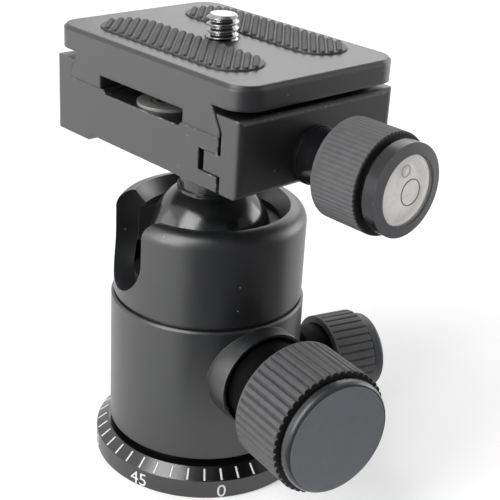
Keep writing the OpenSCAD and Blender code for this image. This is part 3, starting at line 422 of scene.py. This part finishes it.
def soften(path, radius, steps=4):
    """A path with each inner corner replaced by a short curve: the weighted mean of the corner and of the
    two points that lie radius away from it along its sides."""
    path = np.asarray(path, float)
    u = np.linspace(0, 1, steps + 1)[:, None]
    out = [path[:1]]
    for before, corner, after in zip(path[:-2], path[1:-1], path[2:]):
        a, b = before - corner, after - corner
        a *= min(radius, np.linalg.norm(a) / 2) / np.linalg.norm(a)
        b *= min(radius, np.linalg.norm(b) / 2) / np.linalg.norm(b)
        out.append(corner + (1 - u) ** 2 * a + u ** 2 * b)
    return np.concatenate(out + [path[-1:]])


def turned(path, columns=96):
    """Points of a path of (radius, height) swept round Z."""
    path = np.asarray(path, float)
    phi = np.linspace(0, 2 * math.pi, columns, endpoint=False)
    return np.stack([path[:, :1] * np.cos(phi), path[:, :1] * np.sin(phi), path[:, 1:] + 0 * phi], -1)


def ribbed(start, length, outer, core, ribs, depth, share, plain, edge, per_rib=14):
    """A sleeve about Z: its section is a rectangle with softened corners. Each groove takes share of a rib's
    pitch and is a squared cosine of the angle across it. It deepens from nothing past a plain rim at the
    inner end, and runs out through the other end face."""
    path = soften([(core, start), (outer, start), (outer, start + plain), (outer, start + 2 * plain),
                   (outer, start + length), (core, start + length)], edge, steps=5)
    phi = np.linspace(0, 2 * math.pi, ribs * per_rib, endpoint=False)
    away = np.abs((ribs * phi / (2 * math.pi)) % 1 - 0.5)
    groove = np.cos(np.clip(2 * away / share, 0, 1) * math.pi / 2) ** 2
    deep = np.clip((path[:, 1:] - start - plain) / plain, 0, 1) * np.clip((path[:, :1] - core) / depth, 0, 1)
    radius = path[:, :1] - depth * deep * groove
    grid = np.stack([radius * np.cos(phi), radius * np.sin(phi), path[:, 1:] + 0 * phi], -1)
    return np.concatenate([grid, grid[:1]])


def band(name, points, turn, lift, material, body, angle=35):
    """Makes a turned grid into a piece on a knob's axis."""
    rows, columns = points.shape[:2]
    return solid(name, along(points, turn, lift), grid_faces(rows, columns), material, body, angle)


def fit_grip(name, look, points, turn, lift, end, body, replaced):
    """Fits a sleeve of grey-black rubber in place of a CAD node. Its smooth end face beyond end is near
    black:
    painted shade."""
    rubber = finish(look, RUBBER, RUBBER_ROUGHNESS, specular=0.45, mottle=0.16, grain=0.5, grain_size=0.10,
                    dust=0.10)
    # Painted shade: the sleeve's end face beyond end takes a near black colour.
    recolour(rubber, (0, 0, lift), knob_axis(turn), "along", end, END_SHADE, RUBBER_ROUGHNESS)
    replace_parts(band(name, points, turn, lift, rubber, body), replaced)


# The hubs are black plastic, with their colour pushed almost to black and their gloss almost off: painted
# shade for the recess they sit in.
knob_plastic = finish("knob_plastic", (0.002, 0.002, 0.002, 1), 0.60, specular=0.06, mottle=0.15, grain=0.1,
                      dust=0.1)
cap_finish = finish("cap_anodised", (0.125, 0.133, 0.148, 1), 0.50, mottle=0.06, grain=0.35, dust=0.10,
                    rough_spread=0.02)
sleeve = ribbed(LOCK_GRIP, LOCK_GRIP_LEN, LOCK_GRIP_R, LOCK_CORE_R, LOCK_RIBS, LOCK_RIB_DEPTH, LOCK_GROOVE,
                GRIP_RIM, GRIP_EDGE)
fit_grip("main_grip", "main_rubber", sleeve, 0, LOCK_Z, LOCK_GRIP + LOCK_GRIP_LEN - END_FACE, "lock_knob",
         "lock_grip")
dress(["lock_hub"], knob_plastic)

CAP_START, CAP_T, CAP_R, CAP_SIDE, CAP_FACE_R, CAP_STEP, CAP_FOOT = 44.9, 2.0, 11.7, 0.55, 10.85, 0.06, 0.1
CAP_EDGE, CAP_EDGE_ROUGHNESS, FACE_MARGIN = (0.030, 0.031, 0.034, 1), 0.22, 0.05
u = np.radians(np.linspace(0, 90, 9))
rounding = np.stack([CAP_FACE_R + (CAP_R - CAP_FACE_R) * np.cos(u),
                     CAP_START + CAP_SIDE + (CAP_T - CAP_STEP - CAP_SIDE) * np.sin(u)], -1)
cap_path = np.concatenate([[(0, CAP_START), (CAP_R - CAP_FOOT, CAP_START), (CAP_R, CAP_START + CAP_FOOT)],
                           rounding, [(CAP_FACE_R - CAP_STEP, CAP_START + CAP_T), (0, CAP_START + CAP_T)]])
cap = band("main_cap", turned(cap_path), 0, LOCK_Z, cap_finish, "lock_knob", angle=30)
recolour(cap_finish, (0, 0, LOCK_Z), (1, 0, 0), "radius", CAP_FACE_R + FACE_MARGIN, CAP_EDGE,
         CAP_EDGE_ROUGHNESS)
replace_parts(cap, "lock_cap")

# --------------------------------------------------------------------------------------------------------
# Pan lock knob. The same kind of knob, smaller: a black plastic hub on the brake's stud, near black as
# painted shade for its recess, a rubber sleeve with 34 ribs, and a domed cap of anodised aluminium.
PAN_TURN, PAN_Z = 83.0, 13.9
PAN_GRIP, PAN_GRIP_LEN, PAN_GRIP_R, PAN_CORE_R = 28.9, 9.3, 9.9, 8.4
PAN_RIBS, PAN_RIB_DEPTH, PAN_GROOVE = 34, 0.40, 0.34
sleeve = ribbed(PAN_GRIP, PAN_GRIP_LEN, PAN_GRIP_R, PAN_CORE_R, PAN_RIBS, PAN_RIB_DEPTH, PAN_GROOVE,
                GRIP_RIM, GRIP_EDGE)
fit_grip("pan_grip_sleeve", "pan_rubber", sleeve, PAN_TURN, PAN_Z, PAN_GRIP + PAN_GRIP_LEN - END_FACE,
         "pan_knob", "pan_grip")
dress(["pan_hub"], knob_plastic)
pan_cap_finish = finish("pan_cap_anodised", (0.055, 0.057, 0.063, 1), 0.46, mottle=0.08, grain=0.35,
                        worn=0.5, dust=0.10, rough_spread=0.02)
dress(["pan_cap"], pan_cap_finish)

# --------------------------------------------------------------------------------------------------------
# Clamp. A bed and a moving jaw of milled and blasted aluminium, anodised black; two flat steel screws in its
# floor hold the pins on which the jaw slides.
clamp_finish = finish("clamp_anodised", (0.008, 0.0085, 0.0095, 1), 0.38, specular=1.0, mottle=0.08,
                      worn=0.7, dust=0.12, grain=0.40, rough_spread=0.012, edge_radius=0.55)
dress(["clamp_bed", "clamp_jaw"], clamp_finish)
HEAD_TURN, FLOOR_SCREW_Y, GROOVE_R, GROOVE_W = 9.0, -12.3, 2.9, 0.35
STEEL_GREY, STEEL_ROUGHNESS = (0.24, 0.24, 0.235, 1), 0.34
GROOVE_SHADE, GROOVE_ROUGHNESS, RIM_GREY = (0.05, 0.05, 0.05, 1), 0.4, (0.22, 0.22, 0.215, 1)
bright_steel = finish("bright_steel", STEEL_GREY, STEEL_ROUGHNESS, specular=0.8, mottle=0.12, grain=0.3,
                      worn=0.8, worn_colour=(0.6, 0.6, 0.58, 1))
c, s, _ = knob_axis(HEAD_TURN)
near_screw = (-FLOOR_SCREW_Y * s, FLOOR_SCREW_Y * c, 0)
# Painted shade: a dark ring on the near screw's head stands in for the shade of a groove that is not
# modelled, with a slightly darker rim beyond it.
recolour(bright_steel, near_screw, (0, 0, 1), "radius", GROOVE_R, GROOVE_SHADE, GROOVE_ROUGHNESS)
recolour(bright_steel, near_screw, (0, 0, 1), "radius", GROOVE_R + GROOVE_W, RIM_GREY, STEEL_ROUGHNESS)
dress(["floor_screws"], bright_steel)

# --------------------------------------------------------------------------------------------------------
# Clamp knob. A glossy neck and washer, a finely ribbed sleeve, and the level's ring at its end, with a white
# vial under a clear window.
BALL_Z, SCREW_H = 49.4, 25.65
CLAMP_GRIP, CLAMP_GRIP_LEN, CLAMP_GRIP_R, CLAMP_CORE_R = 35.6, 10.3, 9.45, 7.95
CLAMP_RIBS, CLAMP_RIB_DEPTH, CLAMP_GROOVE = 64, 0.16, 0.6
CLAMP_RIM, CLAMP_EDGE, CLAMP_END = 0.5, 0.45, 0.36
CLAMP_KNOB_Z = BALL_Z + SCREW_H
sleeve = ribbed(CLAMP_GRIP, CLAMP_GRIP_LEN, CLAMP_GRIP_R, CLAMP_CORE_R, CLAMP_RIBS, CLAMP_RIB_DEPTH,
                CLAMP_GROOVE, CLAMP_RIM, CLAMP_EDGE, per_rib=10)
fit_grip("clamp_knob_sleeve", "clamp_rubber", sleeve, HEAD_TURN, CLAMP_KNOB_Z,
         CLAMP_GRIP + CLAMP_GRIP_LEN - CLAMP_END, "clamp_knob", "clamp_grip")
gloss_black = finish("gloss_black", (0.008, 0.008, 0.009, 1), 0.18, mottle=0.1, grain=0.05, dust=0.15)
ring_finish = finish("level_ring", (0.006, 0.006, 0.007, 1), 0.26, specular=0.45, mottle=0.1, grain=0.1,
                     worn=0.7, dust=0.15)
dress(["clamp_hub", "clamp_washer"], gloss_black)
dress(["level_housing"], ring_finish)
RING_EDGE, FACE_GREY, FACE_ROUGHNESS = 49.38, (0.088, 0.090, 0.094, 1), 0.5
recolour(ring_finish, (0, 0, CLAMP_KNOB_Z), knob_axis(HEAD_TURN), "along", RING_EDGE, FACE_GREY,
         FACE_ROUGHNESS)

VIAL_PATH = ((0, 47.6), (6.45, 47.6), (6.45, 48.95), (6.15, 48.95), (5.95, 48.0), (5.3, 47.9), (4.3, 48.5),
             (3.6, 48.7), (0, 48.72))               # of the dish: radius, and place along the axis
CIRCLE_R, CIRCLE_T, CIRCLE_AT = 2.35, 0.09, 50.19
BUBBLE_R, BUBBLE_T, BUBBLE_AT, BUBBLE_SIDE, BUBBLE_RISE = 1.05, 0.13, 49.2, -0.5, 3.6
GLINT_R, GLINT_T = 0.48, 0.1
WINDOW_ALPHA = 0.16


def hoop(radius, tube, height, steps=10):
    """A closed path round a circle of radius tube, whose centre lies at a radius and a height."""
    u = np.linspace(0, 2 * math.pi, steps + 1)
    return np.stack([radius + tube * np.cos(u), height + tube * np.sin(u)], -1)


def in_level(name, points, look):
    """Makes a piece of the level on the clamp knob's axis."""
    return band(name, points, HEAD_TURN, CLAMP_KNOB_Z, look, "clamp_knob", angle=60)


vial_white = finish("vial_white", (0.95, 0.93, 0.91, 1), 0.30, mottle=0.05, mottle_size=1.2, grain=0.05,
                    coat=0.3)
print_grey = finish("circle_print", (0.035, 0.034, 0.036, 1), 0.5, mottle=0.1, grain=0.1)
bubble_edge_shade = finish("bubble_edge", (0.42, 0.41, 0.41, 1), 0.2, mottle=0.1, grain=0.05)
painted_bubble_glint = finish("bubble_glint", (0.90, 0.89, 0.88, 1), 0.2, mottle=0.02, grain=0.05)
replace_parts(in_level("vial_dish", turned(VIAL_PATH), vial_white), "level_vial")
in_level("level_circle", turned(hoop(CIRCLE_R, CIRCLE_T, CIRCLE_AT), columns=64), print_grey)
# Painted shade: the bubble's outline is a grey ring.
aside = np.array([-BUBBLE_RISE, BUBBLE_SIDE, 0])
rim = turned(hoop(BUBBLE_R, BUBBLE_T, BUBBLE_AT), columns=32)
in_level("bubble_rim", rim + aside, bubble_edge_shade)
# Painted highlight: the bubble's glint is a pale disc inside its rim.
glint = turned([(0, BUBBLE_AT), (GLINT_R, BUBBLE_AT), (GLINT_R, BUBBLE_AT + GLINT_T),
                (0, BUBBLE_AT + GLINT_T)], columns=32)
in_level("bubble_glint", glint + aside, painted_bubble_glint)
window = finish("clear_window", (0.92, 0.92, 0.91, 1), 0.06, specular=0.8, mottle=0.0, grain=0.0,
                rough_spread=0.01)
window.node_tree.nodes["Principled BSDF"].inputs["Alpha"].default_value = WINDOW_ALPHA
dress(["level_window"], window)

# --------------------------------------------------------------------------------------------------------
# Quick-release plate. Milled aluminium like the clamp, with two recesses for the pads and a channel for the
# screw under it.
plate_finish = finish("plate_anodised", (0.010, 0.0105, 0.0115, 1), 0.38, specular=1.0, mottle=0.08,
                      dust=0.08, grain=0.30, rough_spread=0.012, edge_radius=0.9)
dress(["plate"], plate_finish)

# --------------------------------------------------------------------------------------------------------
# Pads. Two strips of black rubber with round ends, glued into the plate's recesses and moulded with ribs at
# 45 degrees that are knurled crosswise. Painted shade darkens the knurl cuts and the flanks of the ribs.
PAD_Y, PLATE_TOP = 2.1, 40.7
PAD_LEN, PAD_W, PAD_PITCH, PAD_OFFSET, PAD_PROUD, PAD_RECESS = 41.5, 11.6, 21.6, -1.3, 0.7, 0.8
RIB_PITCH, RIB_W, RIB_DEPTH, RIB_INSET, RIB_FLANK, RIBS_ASIDE = 1.65, 1.05, 0.40, 0.12, 0.16, 20
KNURL_PITCH, KNURL_DEPTH, KNURL_GAIN = 0.82, 0.30, 1.4
# Painted shade in the cuts: where it begins below the top, how soft it is, the colour's share at its darkest,
# and the margin above the pad's floor, which stays unshaded.
CUT_FROM, CUT_SOFT, CUT_PAINTED_SHADE, BED_MARGIN = 0.04, 0.12, 0.12, 0.02


def head(points):
    """Turns points about the stem and lifts them onto the ball's centre."""
    c, s, _ = knob_axis(HEAD_TURN)
    x, y = points[..., 0], points[..., 1]
    return np.stack([c * x - s * y, s * x + c * y, points[..., 2] + BALL_Z], -1)


def pad_surface(middle_y, rows=420, columns=120, stations=1201):
    """A strip with round ends: across each station the width is that of the outline there. Bars with round
    ends stand on it along one diagonal, each as long as the outline allows; the height falls off with the
    distance from a bar's middle line, less a fine clipped wave along the bar."""
    half, run = PAD_W / 2, (PAD_LEN - PAD_W) / 2
    angle = np.linspace(0, math.pi, rows)
    x = -np.cos(angle) * (run + half)
    width = np.sqrt(np.maximum(half ** 2 - np.maximum(np.abs(x) - run, 0) ** 2, 0))
    t = np.linspace(-1, 1, columns)
    px, py = x[:, None] + 0 * t, width[:, None] * t
    across, down = (px + py) / math.sqrt(2), (px - py) / math.sqrt(2)
    bars = np.arange(-RIBS_ASIDE, RIBS_ASIDE + 1)
    station = np.linspace(-run - half, run + half, stations)
    bar_x = (bars[:, None] * RIB_PITCH + station) / math.sqrt(2)
    bar_y = (bars[:, None] * RIB_PITCH - station) / math.sqrt(2)
    inside = np.hypot(np.maximum(np.abs(bar_x) - run, 0), bar_y) < half - RIB_INSET
    low = np.where(inside, station, math.inf).min(1) + RIB_W / 2
    high = np.where(inside, station, -math.inf).max(1) - RIB_W / 2
    number = np.clip(np.round(across / RIB_PITCH), -RIBS_ASIDE, RIBS_ASIDE).astype(int)
    low, high = low[number + RIBS_ASIDE], high[number + RIBS_ASIDE]
    beyond = np.maximum(np.maximum(low - down, down - high), 0)
    away = np.hypot(across - number * RIB_PITCH, beyond)
    rib = np.clip((RIB_W / 2 - away) / RIB_FLANK + 0.5, 0, 1)
    knurl = np.clip(np.cos(2 * math.pi * down / KNURL_PITCH) * KNURL_GAIN + 1 - KNURL_GAIN, 0, 1)
    top = PLATE_TOP + PAD_PROUD - RIB_DEPTH * (1 - rib) - KNURL_DEPTH * rib * knurl
    points = np.stack([px, py, top], -1)
    foot_a, foot_b = points[:, :1].copy(), points[:, -1:].copy()
    foot_a[..., 2] = foot_b[..., 2] = PLATE_TOP - PAD_RECESS
    points = np.concatenate([foot_a, points, foot_b], 1)
    return points + np.array([PAD_OFFSET, PAD_Y + middle_y, 0])


pad_rubber = finish("pad_rubber", (0.058, 0.057, 0.058, 1), 0.55, specular=0.6, mottle=0.2, grain=0.5,
                    dust=0.05)
tree = pad_rubber.node_tree
shader = tree.nodes["Principled BSDF"]
# Painted shade: the rubber's colour is darkened in the knurl cuts and down the flanks of the ribs.
in_cut = node(tree, "Attribute", attribute_name="cut")
shade = node(tree, "MapRange", {"Value": in_cut.outputs["Fac"], "To Min": 1.0, "To Max": CUT_PAINTED_SHADE})
before = shader.inputs["Base Color"].links[0].from_socket
painted_cut_shade = node(tree, "VectorMath", {0: before, "Scale": shade.outputs[0]}, operation="SCALE")
tree.links.new(painted_cut_shade.outputs[0], shader.inputs["Base Color"])
for name, side in (("pad_near", -1), ("pad_far", 1)):
    grid = pad_surface(side * PAD_PITCH / 2)
    faces = grid_faces(*grid.shape[:2])
    pad = solid(name, head(grid), faces, pad_rubber, "plate", angle=50)
    spots = np.empty(3 * len(pad.data.vertices))
    pad.data.vertices.foreach_get("co", spots)
    level = spots.reshape(-1, 3)[:, 2] / MM - BALL_Z - PLATE_TOP - PAD_PROUD
    # How deep each point lies in a cut, which sets the painted shade there.
    cut = pad.data.attributes.new("cut", "FLOAT", "POINT")
    cut.data.foreach_set("value", np.clip((-level - CUT_FROM) / CUT_SOFT, 0, 1)
                         * (level > BED_MARGIN - RIB_DEPTH))
    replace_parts(pad, "pads")

# --------------------------------------------------------------------------------------------------------
# Camera screw. Chromed steel: a flat head in the plate's channel, a thin neck, and a 1/4 inch thread of
# 20 turns to the inch above the plate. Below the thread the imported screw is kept.
SCREW_R, SCREW_PROUD, SCREW_IN, PITCH, THREAD_DEPTH, SCREW_CHAMFER = 3.175, 4.7, 0.1, 1.27, 0.72, 0.6
SCREW_AT = (-1.0, 1.75)
CREST, FLANK = 0.12, 0.76               # shares of half a turn


def thread(rows=130, columns=96):
    """A screw surface: the radius falls by a clipped triangle wave of the height less the share of a turn,
    and is cut by a cone at the end. The first and the last row close its ends."""
    phi = np.linspace(0, 2 * math.pi, columns, endpoint=False)
    z = np.linspace(PLATE_TOP - SCREW_IN, PLATE_TOP + SCREW_PROUD, rows)[:, None]
    wave = np.abs(((z / PITCH - phi / (2 * math.pi)) % 1) * 2 - 1)
    radius = SCREW_R - THREAD_DEPTH * np.clip((wave - CREST) / FLANK, 0, 1)
    radius = np.minimum(radius, SCREW_R - SCREW_CHAMFER + (PLATE_TOP + SCREW_PROUD - z))
    body = np.stack([radius * np.cos(phi), radius * np.sin(phi), z + 0 * phi], -1)
    centre = body[-1:] * np.array([0, 0, 1])
    foot = body[:1] * np.array([0, 0, 1])
    return np.concatenate([foot, body, centre])


chrome = finish("chrome", (0.38, 0.375, 0.375, 1), 0.18, metallic=1.0, mottle=0.06, grain=0.08,
                rough_spread=0.04)
grid = thread() + np.array([*SCREW_AT, 0])
screw = solid("camera_thread", head(grid), grid_faces(*grid.shape[:2]), chrome, "camera_screw",
              angle=40)
foot = bpy.data.objects.new("camera_screw_foot", nodes["camera_screw"].data.copy())
bpy.context.scene.collection.objects.link(foot)
work = bmesh.new()
work.from_mesh(foot.data)
bmesh.ops.remove_doubles(work, verts=work.verts, dist=MERGE)
thread_foot = Vector((0, 0, (BALL_Z + PLATE_TOP - SCREW_IN) * MM))
bmesh.ops.bisect_plane(work, geom=work.verts[:] + work.edges[:] + work.faces[:], plane_co=thread_foot,
                       plane_no=(0, 0, 1), clear_outer=True)
work.to_mesh(foot.data)
work.free()
foot.data.materials.clear()
foot.data.materials.append(chrome)
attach(foot, "camera_screw")
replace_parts(screw, "camera_screw")
